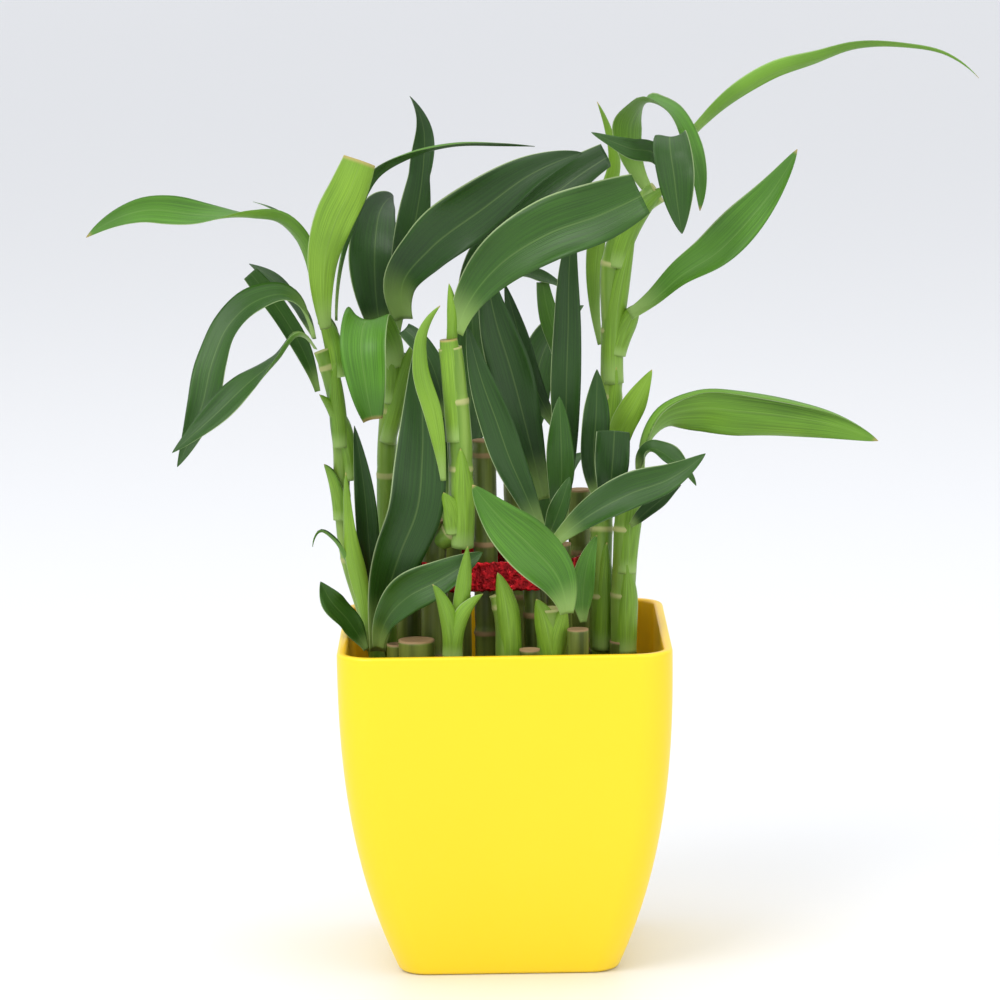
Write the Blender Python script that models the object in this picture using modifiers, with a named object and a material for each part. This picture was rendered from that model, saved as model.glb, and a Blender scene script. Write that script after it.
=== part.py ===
"""Lucky bamboo growing in a square flower pot.

The pot is a thin square shell with rounded corners. It holds a block of soil, and the soil holds
a ring of short canes around a bundle of taller ones, which a ribbon ties together. Green shoots
grow from the sides of the canes, and the leaves stand on the shoots.

All tables are in millimetres. The origin is the centre of the pot's underside, +Z is up, and the
plant's front looks along -Y.
"""

import math
from typing import NamedTuple

import bmesh
import bpy
import numpy as np
from mathutils import Vector
from mathutils.geometry import convex_hull_2d

MM = 0.001
GAP = 0.3               # clearance between neighbouring pieces

# Pot
POT_HEIGHT = 114.8
POT_RIM_HALF = 57.0     # half the outer width at the rim
POT_BASE_HALF = 37.7    # half the outer width at the base
POT_BELLY = 2.45        # how quickly the wall swells above the base: 1 is a straight taper
FOOT_INSET = 0.6        # the flat underside is this much smaller all round than the wall above it
POT_WALL = 3.2
POT_FLOOR = 4.0
RIM_CORNER = 13.0       # corner radius at the rim
BASE_CORNER = 10.0      # corner radius at the base
CORNER_POINTS = 6       # points round one corner

# Soil
SOIL_TOP = 88.0
SOIL_LEVELS = 6

# Canes and shoots
CANE_FOOT = 62.0        # how deep the canes reach into the soil
CANE_SIDES = 10
SHOOT_SIDES = 8

# Ribbon
RIBBON_LOW = 132.0
RIBBON_HIGH = 142.0
RIBBON_THICK = 0.8
RIBBON_CLEAR = 0.5

LEAF_THICK = 0.8


class Cane(NamedTuple):
    """A cut cane that stands in the soil, with the green shoot that grew from its side, if any."""

    name: str
    x: float
    y: float
    radius: float
    top: float
    shoot_radius: float = 0.0
    shoot: tuple = ()


class Leaf(NamedTuple):
    """A leaf blade: its midrib from base to tip, half its widest width, and which way it faces.

    facing turns the upper side about the midrib, in degrees, from the reference direction: the
    front of the plant for "front", its right side for "right". cut keeps only the first part of
    the outline, for a blade whose tip was trimmed off.
    """

    name: str
    midrib: tuple
    half_width: float
    facing: tuple
    reference: str = "front"
    cup: float = 0.5
    neck: float = 0.3
    widest: float = 0.45
    cut: float = 1.0


TALL_CANES = (
    Cane("tall_cane_left", -33, -11, 4.3, 146),
    Cane("tall_cane_front_left", -24, -20, 4.6, 156, 4.0,
         ((-24, -20, 149), (-19, -22, 151), (-15, -24, 157), (-14, -25, 170), (-14, -25, 183),
          (-15, -25, 198), (-17, -25, 216))),
    Cane("tall_cane_front", -6, -16, 4.1, 183),
    Cane("tall_cane_slim", 10, -22, 3.2, 147),
    Cane("tall_cane_front_right", 19, -18, 4.4, 147),
    Cane("tall_cane_right", 27, 7, 4.1, 162),
    Cane("tall_cane_back_left", -19, 13, 4.5, 158),
    Cane("tall_cane_back", 5, 17, 4.5, 166),
)

RING_CANES = (
    Cane("ring_cane_left", -44, -13, 4.4, 103),
    Cane("ring_cane_left_back", -44, 14, 3.8, 100, 2.9,
         ((-44, 14, 88), (-46, 14, 108), (-49, 14, 119), (-54, 13, 137), (-56, 11, 159),
          (-56, 10, 177), (-58, 8, 198), (-62, 8, 212))),
    Cane("ring_cane_back_left", -39, 25, 4.0, 102, 3.4,
         ((-39, 25, 90), (-41, 22, 108), (-42, 22, 121), (-41, 20, 147), (-40, 18, 179),
          (-38, 17, 198))),
    Cane("cut_cane_front_left", -30, -34, 6.2, 117),
    Cane("cut_cane_left", -37, -25, 3.4, 114),
    Cane("ring_cane_front_left", -18, -41, 3.8, 112, 2.9,
         ((-18, -41, 100), (-18, -41, 113), (-18, -41, 125))),
    Cane("cut_cane_front", 8.5, -44, 3.4, 115),
    Cane("ring_cane_front", 1, -32, 4.4, 108, 4.2,
         ((1, -32, 100), (1, -32, 112), (1, -31, 122), (-1, -30, 132))),
    Cane("ring_cane_front_right", 15.5, -33, 4.6, 104, 4.4,
         ((15.5, -33, 96), (15.5, -33, 112), (15, -33, 127))),
    Cane("ring_cane_right_front", 25, -40, 3.6, 121),
    Cane("ring_cane_corner", 41, -14, 4.6, 112, 4.2,
         ((41, -14, 100), (41, -14, 116), (41, -14, 123), (42, -14, 140), (43, -13, 157),
          (44, -12, 163))),
    Cane("ring_cane_right", 33.5, -6, 4.2, 108, 3.9,
         ((33.5, -6, 96), (33.5, -7, 112), (33.5, -8, 125), (34, -7, 146), (35, -4, 167),
          (38, 0, 194), (39, 0, 218), (40, 0, 245), (46, -1, 258), (55, -2, 266))),
    Cane("ring_cane_back_right", 36, 24, 4.4, 118),
    Cane("ring_cane_back", 12, 38, 4.4, 124),
    Cane("ring_cane_back_middle", -16, 36, 4.4, 120),
)

LEAVES = (
    # The rosette at the left of the rim
    Leaf("rosette_leaf_low", ((-48, -14, 110), (-54, -15, 120), (-60, -18, 128), (-63, -19, 135)),
         5.2, (40, 30), widest=0.55),
    Leaf("rosette_leaf_pale", ((-47, -9, 109), (-50, -7, 130), (-53, -6, 146), (-54, -6, 160),
                               (-54, -6, 171)), 3.4, (160, 150)),
    Leaf("rosette_leaf_dark", ((-46, -4, 108), (-46, 0, 125), (-47, 2, 142), (-48, 2, 160),
                               (-51, 3, 186)), 4.6, (20, 10)),
    Leaf("rosette_leaf_broad", ((-44, -16, 110), (-41, -22, 129), (-36, -28, 146),
                                (-30, -28, 161), (-28, -25, 177), (-29, -17, 215)),
         10.2, (10, 0), widest=0.5),
    Leaf("rosette_leaf_right", ((-43, -22, 112), (-40, -28, 124), (-33, -33, 132),
                                (-22, -35, 138), (-7, -35, 147)), 7.2, (-25, -15), widest=0.55),
    # The tall shoot on the left
    Leaf("left_leaf_upright", ((-60, 2, 220), (-61, -2, 234), (-60, -5, 246), (-56, -8, 259),
                               (-51, -9, 269), (-47, -8, 279)),
         7.2, (190, 180), cup=0.35, widest=0.55, cut=0.75),
    Leaf("left_leaf_far", ((-62, 8, 221), (-65, 8, 240), (-69, 6, 251), (-75, 4, 257),
                           (-85, 2, 259), (-102, -2, 260), (-123, -6, 262), (-141, -10, 254)),
         6.0, (150, 130, 85, 30, 20), neck=0.35, widest=0.6),
    Leaf("left_leaf_short", ((-64, 12, 197), (-69, 14, 211), (-76, 17, 223), (-87, 18, 238)),
         4.2, (30, 20), cut=0.75),
    Leaf("left_leaf_droop_high", ((-65, 2, 217), (-74, 0, 232), (-84, -4, 230), (-93, -8, 222),
                                  (-98, -12, 211), (-102, -16, 196), (-111, -22, 176)),
         7.2, (100, 50, 20, 10), widest=0.5),
    Leaf("left_leaf_droop_low", ((-64, -4, 214), (-69, -9, 219), (-76, -15, 212),
                                 (-87, -22, 203), (-97, -26, 194), (-112, -30, 182)),
         6.0, (110, 50, 30), widest=0.5),
    # The second shoot from the left
    Leaf("front_leaf_droop", ((-36, 12, 205), (-41, 7, 218), (-45, 0, 223), (-47, -9, 216),
                              (-46, -12, 204), (-44, -11, 190)),
         8.8, (90, 90), "right", cup=0.6, neck=0.4, widest=0.5, cut=0.9),
    Leaf("back_leaf_upright", ((-41, 25, 212), (-44, 26, 231), (-44, 28, 247), (-42, 36, 258),
                               (-37, 48, 262)), 9.0, (0, 0, 10), widest=0.5),
    Leaf("twisted_leaf", ((-37, 18, 215), (-34, 19, 238), (-29, 20, 257), (-26, 20, 275),
                          (-26, 20, 289), (-30, 18, 299)), 6.2, (30, 10, -30, 60)),
    Leaf("arching_leaf_thin", ((-57, 10, 222), (-52, 12, 253), (-42, 10, 274), (-30, 7, 280),
                               (-16, 6, 283), (1, 4, 283), (13, 3, 282)), 2.8, (60, 60, 60)),
    Leaf("broad_leaf_left", ((-33, 13, 222), (-34, 8, 234), (-24, 0, 248), (-6, -8, 262),
                             (13, -14, 275), (29, -18, 281)),
         10.4, (-25, -10, -20), neck=0.35),
    Leaf("broad_leaf_behind", ((-12, 4, 223), (-6, 6, 242), (9, 8, 257), (24, 8, 269),
                               (38, 6, 278)), 8.4, (-20, -25), cut=0.8),
    # The shoot in the middle
    Leaf("narrow_leaf_bright", ((-20, -30, 171), (-23, -33, 194), (-27, -33, 211),
                                (-26, -32, 222), (-20, -31, 231)), 3.4, (170, 200)),
    Leaf("middle_leaf_left", ((-20, -17, 191), (-23, -12, 206), (-27, -9, 214), (-33, -5, 220)),
         5.0, (30, 30), cut=0.85),
    Leaf("broad_leaf_glossy", ((-15, -25, 221), (-11, -26, 231), (0, -29, 245), (17, -32, 256),
                               (34, -34, 262), (48, -34, 268)),
         11.6, (-15, -8, -10), neck=0.3, widest=0.55, cut=0.82),
    # The thick shoot on the right
    Leaf("arching_leaf_right", ((63, 0, 275), (66, -2, 284), (73, -4, 292), (84, -6, 301),
                                (95, -7, 307), (109, -8, 311), (122, -10, 315), (139, -11, 315),
                                (153, -12, 312), (164, -13, 304)),
         3.4, (-150, -150, -130, -90), widest=0.3),
    Leaf("folded_leaf_top", ((52, 12, 266), (46, 10, 280), (46, 5, 290), (52, -2, 297),
                             (59, -6, 294), (66, -9, 282), (69, -10, 260)),
         6.6, (180, 190, 270, 335, 350), widest=0.4),
    Leaf("wavy_leaf_left", ((58, -9, 274), (53, -14, 280), (45, -19, 282), (38, -20, 285),
                            (32, -20, 288)), 4.2, (30, 20, 30), widest=0.3),
    Leaf("wavy_leaf_down", ((61, -14, 278), (59, -20, 286), (59, -26, 282), (60, -29, 274),
                            (61, -30, 263), (62, -30, 254)),
         7.0, (90, 90), "right", cup=0.4),
    Leaf("spear_leaf_back", ((35, 12, 212), (33, 15, 233), (36, 18, 257), (41, 20, 276),
                             (39, 20, 286), (35, 20, 296)), 3.4, (180, 200)),
    Leaf("raised_leaf_right", ((45, -6, 224), (52, -8, 229), (62, -11, 238), (74, -13, 246),
                               (85, -14, 257), (94, -15, 268), (102, -16, 281)),
         7.4, (-40, -20), widest=0.5),
    Leaf("tent_leaf_right", ((49, -12, 169), (50, -13, 182), (56, -13, 190), (68, -12, 193),
                             (82, -13, 192), (99, -15, 190), (114, -17, 187), (129, -19, 181)),
         11.0, (240, 190, 180), cup=0.3, neck=0.2, widest=0.42),
    Leaf("low_leaf_right", ((18, -34, 150), (30, -36, 160), (43, -37, 167), (57, -37, 172),
                            (69, -37, 180)), 6.8, (-25, -20)),
    Leaf("cupped_leaf", ((33, -17, 161), (31, -18, 177), (32, -19, 191), (33, -18, 207)),
         6.0, (20, 10), cup=0.7),
    # The leaves in the centre
    Leaf("centre_leaf_tall", ((21, -8, 153), (22, -9, 178), (22, -10, 195), (23, -10, 220),
                              (24, -8, 243), (26, -4, 259)), 5.6, (10, 0), widest=0.5),
    Leaf("centre_leaf_short", ((18, -15, 154), (20, -18, 169), (20, -20, 181), (20, -19, 198)),
         5.2, (0, 0), widest=0.5),
    Leaf("centre_leaf_high", ((14, -9, 161), (9, -10, 182), (3, -11, 206), (-2, -11, 224),
                              (-5, -9, 244)), 8.0, (10, 10), widest=0.5),
    Leaf("centre_leaf_low", ((14, -26, 150), (8, -25, 164), (2, -25, 178), (-2, -24, 190),
                             (-7, -23, 205), (-11, -21, 223)), 6.2, (10, 10)),
    # The leaves in front
    Leaf("front_leaf_bright", ((21, -44, 127), (18, -46, 139), (8, -48, 151), (-1, -48, 160),
                               (-10, -47, 172)), 9.6, (20, 10), neck=0.25, widest=0.42),
    Leaf("front_leaf_upright", ((27, -33, 122), (27, -34, 135), (29, -34, 145), (32, -33, 152)),
         4.2, (0, 0), widest=0.4),
)

COLOURS = {
    "pot": ((0.98, 0.80, 0.03, 1.0), 0.35),
    "soil": ((0.035, 0.022, 0.014, 1.0), 0.95),
    "ribbon": ((0.55, 0.01, 0.015, 1.0), 0.3),
    "cane": ((0.16, 0.20, 0.04, 1.0), 0.5),
    "leaf": ((0.07, 0.20, 0.03, 1.0), 0.4),
}


def clear_scene():
    """Remove every object that the start-up file holds."""
    for obj in list(bpy.data.objects):
        bpy.data.objects.remove(obj, do_unlink=True)


def new_collection(name):
    collection = bpy.data.collections.new(name)
    bpy.context.scene.collection.children.link(collection)
    return collection


def make_materials():
    """One Principled material for each finish."""
    materials = {}
    for name, (colour, roughness) in COLOURS.items():
        material = bpy.data.materials.new(name)
        material.use_nodes = True
        shader = material.node_tree.nodes["Principled BSDF"]
        shader.inputs["Base Color"].default_value = colour
        shader.inputs["Roughness"].default_value = roughness
        materials[name] = material
    return materials


def add_object(name, mesh, collection, material=None):
    obj = bpy.data.objects.new(name, mesh)
    collection.objects.link(obj)
    if material:
        mesh.materials.append(material)
    return obj


def hide_cutter(obj):
    obj.hide_render = True
    obj.display_type = "WIRE"


def add_boolean(obj, other, operation):
    modifier = obj.modifiers.new(operation.lower(), "BOOLEAN")
    modifier.operation = operation
    modifier.object = other


# --- Pot and soil ---------------------------------------------------------------------------------

def pot_half_width(z):
    """Half the pot's outer width at height z: a belly that swells quickly above the base."""
    swell = 1 - (1 - z / POT_HEIGHT) ** POT_BELLY
    return POT_BASE_HALF + (POT_RIM_HALF - POT_BASE_HALF) * swell


def pot_corner(z):
    return BASE_CORNER + (RIM_CORNER - BASE_CORNER) * z / POT_HEIGHT


def rounded_square(half, corner, z):
    """The points of a square with rounded corners at height z, counter-clockwise from above."""
    points = []
    for quarter in range(4):
        turn = quarter * math.pi / 2
        for step in range(CORNER_POINTS):
            angle = math.pi / 2 * step / (CORNER_POINTS - 1)
            x = half - corner + corner * math.cos(angle)
            y = half - corner + corner * math.sin(angle)
            points.append((x * math.cos(turn) - y * math.sin(turn),
                           x * math.sin(turn) + y * math.cos(turn), z))
    return points


def loft(name, rings):
    """Skin a stack of point rings and close its two ends."""
    mesh = bmesh.new()
    loops = [[mesh.verts.new(Vector(point) * MM) for point in ring] for ring in rings]
    for low, high in zip(loops, loops[1:]):
        for i in range(len(low)):
            j = (i + 1) % len(low)
            mesh.faces.new((low[i], low[j], high[j], high[i]))
    mesh.faces.new(loops[0][::-1])
    mesh.faces.new(loops[-1])
    data = bpy.data.meshes.new(name)
    mesh.to_mesh(data)
    mesh.free()
    return data


def build_pot(collection, material):
    """Up the outside of the wall, over the flat rim, down the inside and across the floor."""
    outside = [0, 1.2, 6, 14, 25, 38, 54, 74, 96, POT_HEIGHT]
    inside = [POT_HEIGHT, 96, 74, 54, 38, 25, 14, POT_FLOOR]
    rings = [rounded_square(pot_half_width(z) - (FOOT_INSET if z == 0 else 0),
                            pot_corner(z), z) for z in outside]
    rings += [rounded_square(pot_half_width(z) - POT_WALL, pot_corner(z) - POT_WALL, z)
              for z in inside]
    return add_object("pot", loft("pot", rings), collection, material)


def build_soil(collection, cutters, material, canes):
    """A block that fills the pot below SOIL_TOP, with a hole for each cane."""
    low = POT_FLOOR + GAP
    rings = []
    for level in range(SOIL_LEVELS):
        z = low + (SOIL_TOP - low) * (level / (SOIL_LEVELS - 1)) ** 1.6
        inset = POT_WALL + 2.2
        rings.append(rounded_square(pot_half_width(z) - inset, pot_corner(z) - POT_WALL, z))
    soil = add_object("soil", loft("soil", rings), collection, material)
    for cane in canes:
        cutter = build_stick("hole_" + cane.name, cane.x, cane.y, cane.radius + GAP,
                             CANE_FOOT - GAP, SOIL_TOP + 10, cutters)
        hide_cutter(cutter)
        add_boolean(soil, cutter, "DIFFERENCE")
    return soil


# --- Canes ----------------------------------------------------------------------------------------

def build_stick(name, x, y, radius, low, high, collection, material=None):
    """A plain round stick between two heights."""
    mesh = bmesh.new()
    bmesh.ops.create_cone(mesh, cap_ends=True, segments=CANE_SIDES, radius1=radius * MM,
                          radius2=radius * MM, depth=(high - low) * MM)
    data = bpy.data.meshes.new(name)
    mesh.to_mesh(data)
    mesh.free()
    stick = add_object(name, data, collection, material)
    stick.location = (x * MM, y * MM, (low + high) / 2 * MM)
    return stick


def build_tube(name, path, radius, collection):
    """A round tube along a path: a bevelled curve turned into a welded mesh."""
    curve = bpy.data.curves.new(name, "CURVE")
    curve.dimensions = "3D"
    curve.bevel_depth = radius * MM
    curve.bevel_resolution = SHOOT_SIDES // 2 - 2
    curve.use_fill_caps = True
    spline = curve.splines.new("POLY")
    spline.points.add(len(path) - 1)
    for point, place in zip(spline.points, path):
        point.co = (place[0] * MM, place[1] * MM, place[2] * MM, 1.0)
    guide = bpy.data.objects.new(name + "_guide", curve)
    collection.objects.link(guide)
    evaluated = guide.evaluated_get(bpy.context.evaluated_depsgraph_get())
    data = bpy.data.meshes.new_from_object(evaluated)
    welded = bmesh.new()
    welded.from_mesh(data)
    bmesh.ops.remove_doubles(welded, verts=welded.verts, dist=0.01 * MM)
    bmesh.ops.recalc_face_normals(welded, faces=welded.faces)
    welded.to_mesh(data)
    welded.free()
    tube = bpy.data.objects.new(name, data)
    tube.matrix_world = guide.matrix_world
    collection.objects.link(tube)
    bpy.data.objects.remove(guide, do_unlink=True)
    return tube


def build_cane(cane, collection, cutters, material):
    """A cane, made one piece with the shoot that grows from it."""
    stick = build_stick(cane.name, cane.x, cane.y, cane.radius, CANE_FOOT, cane.top,
                        collection, material)
    if cane.shoot:
        shoot = build_tube(cane.name + "_shoot", cane.shoot, cane.shoot_radius, cutters)
        hide_cutter(shoot)
        add_boolean(stick, shoot, "UNION")
    return stick


def build_ribbon(collection, material):
    """A band pulled tight round the tall canes, so that it runs straight from cane to cane."""
    outline = []
    for cane in TALL_CANES:
        for step in range(12):
            angle = math.tau * step / 12
            reach = cane.radius + RIBBON_CLEAR
            outline.append((cane.x + reach * math.cos(angle), cane.y + reach * math.sin(angle)))
    hull = [outline[i] for i in convex_hull_2d(outline)]
    mesh = bmesh.new()
    low = [mesh.verts.new((x * MM, y * MM, RIBBON_LOW * MM)) for x, y in hull]
    high = [mesh.verts.new((x * MM, y * MM, RIBBON_HIGH * MM)) for x, y in hull]
    for i in range(len(hull)):
        j = (i + 1) % len(hull)
        mesh.faces.new((low[i], low[j], high[j], high[i]))
    bmesh.ops.recalc_face_normals(mesh, faces=mesh.faces)
    data = bpy.data.meshes.new("ribbon")
    mesh.to_mesh(data)
    mesh.free()
    ribbon = add_object("ribbon", data, collection, material)
    shell = ribbon.modifiers.new("thickness", "SOLIDIFY")
    shell.thickness = RIBBON_THICK * MM
    shell.offset = 1.0
    return ribbon


# --- Leaves ---------------------------------------------------------------------------------------

def midrib_points(midrib, count):
    """Points spaced evenly along a smooth curve through the midrib's own points.

    Each stretch between two points is a cubic whose end slopes follow the neighbouring points.
    """
    points = np.array(midrib, dtype=float)
    along = np.r_[0, np.cumsum(np.linalg.norm(np.diff(points, axis=0), axis=1))]
    slope = np.gradient(points, along, axis=0)
    slope[0] = 2 * (points[1] - points[0]) / (along[1] - along[0]) - slope[1]
    slope[-1] = 2 * (points[-1] - points[-2]) / (along[-1] - along[-2]) - slope[-2]

    def curve(s):
        i = np.clip(np.searchsorted(along, s, side="right") - 1, 0, len(points) - 2)
        span = (along[i + 1] - along[i])[:, None]
        u = (s - along[i])[:, None] / span
        return ((2 * u**3 - 3 * u**2 + 1) * points[i] + (u**3 - 2 * u**2 + u) * span * slope[i]
                + (3 * u**2 - 2 * u**3) * points[i + 1] + (u**3 - u**2) * span * slope[i + 1])

    fine = np.linspace(0, along[-1], 300)
    length = np.r_[0, np.cumsum(np.linalg.norm(np.diff(curve(fine), axis=0), axis=1))]
    return curve(np.interp(np.linspace(0, length[-1], count), length, fine))


def leaf_directions(line, leaf):
    """The upward and crosswise directions of the blade at each midrib point."""
    forward = np.gradient(line, axis=0)
    forward /= np.linalg.norm(forward, axis=1)[:, None]
    reference = np.array((0.0, -1.0, 0.0) if leaf.reference == "front" else (1.0, 0.0, 0.0))
    zero = reference - (forward @ reference)[:, None] * forward
    zero /= np.linalg.norm(zero, axis=1)[:, None]
    stations = np.linspace(0, 1, len(line))
    turn = np.radians(np.interp(stations, np.linspace(0, 1, len(leaf.facing)), leaf.facing))
    up = np.cos(turn)[:, None] * zero + np.sin(turn)[:, None] * np.cross(forward, zero)
    return up, np.cross(forward, up)


def leaf_outline(leaf, count):
    """Half the blade's width at each station: a narrow neck, a full middle and a pointed tip."""
    t = np.linspace(0, 1, count) * leaf.cut
    rise = np.sin(np.pi / 2 * np.clip(t / leaf.widest, 0, 1)) ** 1.3
    fall = np.cos(np.pi / 2 * np.clip((t - leaf.widest) / (1 - leaf.widest), 0, 1)) ** 0.75
    shape = np.where(t < leaf.widest, leaf.neck + (1 - leaf.neck) * rise, fall)
    return np.maximum(shape * leaf.half_width, 0.4)


def build_leaf(leaf, collection, material):
    """A blade: a grid bent along the midrib, cupped across it and given its thickness."""
    big = leaf.half_width > 5.5
    rows, columns = (9, 5) if big else (7, 3)
    line = midrib_points(leaf.midrib, rows)
    up, across = leaf_directions(line, leaf)
    width = leaf_outline(leaf, rows)
    u = np.linspace(-1, 1, columns)
    sideways = np.sin(u * leaf.cup) / leaf.cup
    lift = (1 - np.cos(u * leaf.cup)) / leaf.cup
    blade = line[:, None] + width[:, None, None] * (
        sideways[None, :, None] * across[:, None] + lift[None, :, None] * up[:, None])
    mesh = bmesh.new()
    bmesh.ops.create_grid(mesh, x_segments=rows - 1, y_segments=columns - 1, size=1.0)
    for vert in mesh.verts:
        row = round((vert.co.x + 1) / 2 * (rows - 1))
        column = round((vert.co.y + 1) / 2 * (columns - 1))
        vert.co = Vector(blade[row, column]) * MM
    data = bpy.data.meshes.new(leaf.name)
    mesh.to_mesh(data)
    mesh.free()
    obj = add_object(leaf.name, data, collection, material)
    shell = obj.modifiers.new("thickness", "SOLIDIFY")
    shell.thickness = LEAF_THICK * MM
    shell.offset = 0.0
    return obj


def main():
    clear_scene()
    plant = new_collection("lucky_bamboo")
    cutters = new_collection("cutters")
    materials = make_materials()
    canes = TALL_CANES + RING_CANES
    build_pot(plant, materials["pot"])
    build_soil(plant, cutters, materials["soil"], canes)
    for cane in canes:
        build_cane(cane, plant, cutters, materials["cane"])
    build_ribbon(plant, materials["ribbon"])
    for leaf in LEAVES:
        build_leaf(leaf, plant, materials["leaf"])


main()
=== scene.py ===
"""Looks of the lucky bamboo in its square pot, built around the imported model.

Every blade, cane and shoot is a surface worked out on a grid with numpy, in millimetres, and put
into a mesh in metres. A blade is a closed thin shell with its own UV map: U runs once round the
blade, upper side first, and V runs from base to tip.
"""

import logging
import math
from dataclasses import dataclass, field
from enum import Enum
from typing import Any, NamedTuple

import bmesh
import bpy
import numpy as np
from mathutils import Matrix, Vector
from mathutils.geometry import convex_hull_2d

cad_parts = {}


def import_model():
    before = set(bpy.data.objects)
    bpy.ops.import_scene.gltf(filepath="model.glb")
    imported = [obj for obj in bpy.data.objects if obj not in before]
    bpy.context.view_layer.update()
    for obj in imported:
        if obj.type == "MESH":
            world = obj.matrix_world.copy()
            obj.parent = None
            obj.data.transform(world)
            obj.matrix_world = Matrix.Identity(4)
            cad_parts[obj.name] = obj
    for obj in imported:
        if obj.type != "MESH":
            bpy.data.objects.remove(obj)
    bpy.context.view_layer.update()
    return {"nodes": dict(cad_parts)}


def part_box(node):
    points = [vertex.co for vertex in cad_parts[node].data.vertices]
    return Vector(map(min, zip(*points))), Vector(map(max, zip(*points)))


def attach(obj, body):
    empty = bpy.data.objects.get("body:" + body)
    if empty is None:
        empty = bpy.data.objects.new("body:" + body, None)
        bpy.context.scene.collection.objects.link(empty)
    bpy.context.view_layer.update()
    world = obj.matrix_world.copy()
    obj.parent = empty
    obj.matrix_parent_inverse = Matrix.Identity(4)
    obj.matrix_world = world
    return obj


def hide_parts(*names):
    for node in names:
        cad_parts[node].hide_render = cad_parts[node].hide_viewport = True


MM = 0.001
LOG = logging.getLogger("lucky_bamboo")

CURVE_SAMPLES = 500      # points used to space a smooth line evenly
SECTION_SAMPLES = 201    # points used to add up the turning across a blade
MIDRIB_CREASE = 0.10     # radians that each half of a blade folds up at its midrib
POT_CORNER_POINTS = 15   # points round each corner of the pot
ROUND_POINTS = 7         # points round the pot's foot, and each side of its rim
WALL_RINGS = 44          # rings up the pot's wall, outside and inside
SOIL_SKIRT_RINGS = 20    # rings of soil against the wall
RIBBON_POINTS = 260      # points round the ribbon
RIBBON_LEVELS = 14       # points up each side of the ribbon
CANE_NODE_SPACING = 31.0
SHOOT_NODE_SPACING = 23.0


# --- Tables of the plant, in millimetres ------------------------------------------------------------

class Cane(NamedTuple):
    """A cut cane that stands in the soil, with the green shoot that grew from its side, if any."""

    name: str
    x: float
    y: float
    radius: float
    top: float
    shoot_radius: float = 0.0
    shoot: tuple = ()


class Leaf(NamedTuple):
    """A leaf blade: its midrib from base to tip, half its widest width, and which way it faces.

    facing turns the upper side about the midrib, in degrees, from the reference direction: the
    front of the plant for "front", its right side for "right". cut keeps only the first part of
    the outline, for a blade whose tip was trimmed off.
    """

    name: str
    midrib: tuple
    half_width: float
    facing: tuple
    reference: str = "front"
    cup: float = 0.5
    neck: float = 0.3
    widest: float = 0.45
    cut: float = 1.0
    roll: tuple = ()


TALL_CANES = (
    Cane("tall_cane_left", -33, -11, 4.3, 146),
    Cane("tall_cane_front_left", -24, -20, 4.6, 156, 4.0,
         ((-24, -20, 149), (-19, -22, 151), (-15, -24, 157), (-14, -25, 170), (-14, -25, 183),
          (-15, -25, 198), (-17, -25, 216))),
    Cane("tall_cane_front", -6, -16, 4.1, 183),
    Cane("tall_cane_slim", 10, -22, 3.2, 147),
    Cane("tall_cane_front_right", 19, -18, 4.4, 147),
    Cane("tall_cane_right", 27, 7, 4.1, 162),
    Cane("tall_cane_back_left", -19, 13, 4.5, 158),
    Cane("tall_cane_back", 5, 17, 4.5, 166),
)

RING_CANES = (
    Cane("ring_cane_left", -44, -13, 4.4, 103),
    Cane("ring_cane_left_back", -44, 14, 3.8, 100, 2.9,
         ((-44, 14, 88), (-46, 14, 108), (-49, 14, 119), (-54, 13, 137), (-56, 11, 159),
          (-56, 10, 177), (-58, 8, 198), (-62, 8, 212))),
    Cane("ring_cane_back_left", -39, 25, 4.0, 102, 3.4,
         ((-39, 25, 90), (-41, 22, 108), (-42, 22, 121), (-41, 20, 147), (-40, 18, 179),
          (-38, 17, 198))),
    Cane("cut_cane_front_left", -30, -34, 6.2, 117),
    Cane("cut_cane_left", -37, -25, 3.4, 114),
    Cane("ring_cane_front_left", -18, -41, 3.8, 112, 2.9,
         ((-18, -41, 100), (-18, -41, 113), (-18, -41, 125))),
    Cane("cut_cane_front", 8.5, -44, 3.4, 115),
    Cane("ring_cane_front", 1, -32, 4.4, 108, 4.2,
         ((1, -32, 100), (1, -32, 112), (1, -31, 122), (-1, -30, 132))),
    Cane("ring_cane_front_right", 15.5, -33, 4.6, 104, 4.4,
         ((15.5, -33, 96), (15.5, -33, 112), (15, -33, 127))),
    Cane("ring_cane_right_front", 25, -40, 3.6, 121),
    Cane("ring_cane_corner", 41, -14, 4.6, 112, 4.2,
         ((41, -14, 100), (41, -14, 116), (41, -14, 123), (42, -14, 140), (43, -13, 157),
          (44, -12, 163))),
    Cane("ring_cane_right", 33.5, -6, 4.2, 108, 3.9,
         ((33.5, -6, 96), (33.5, -7, 112), (33.5, -8, 125), (34, -7, 146), (35, -4, 167),
          (38, 0, 194), (39, 0, 218), (40, 0, 245), (46, -1, 258), (55, -2, 266))),
    Cane("ring_cane_back_right", 36, 24, 4.4, 118),
    Cane("ring_cane_back", 12, 38, 4.4, 124),
    Cane("ring_cane_back_middle", -16, 36, 4.4, 120),
)

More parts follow.
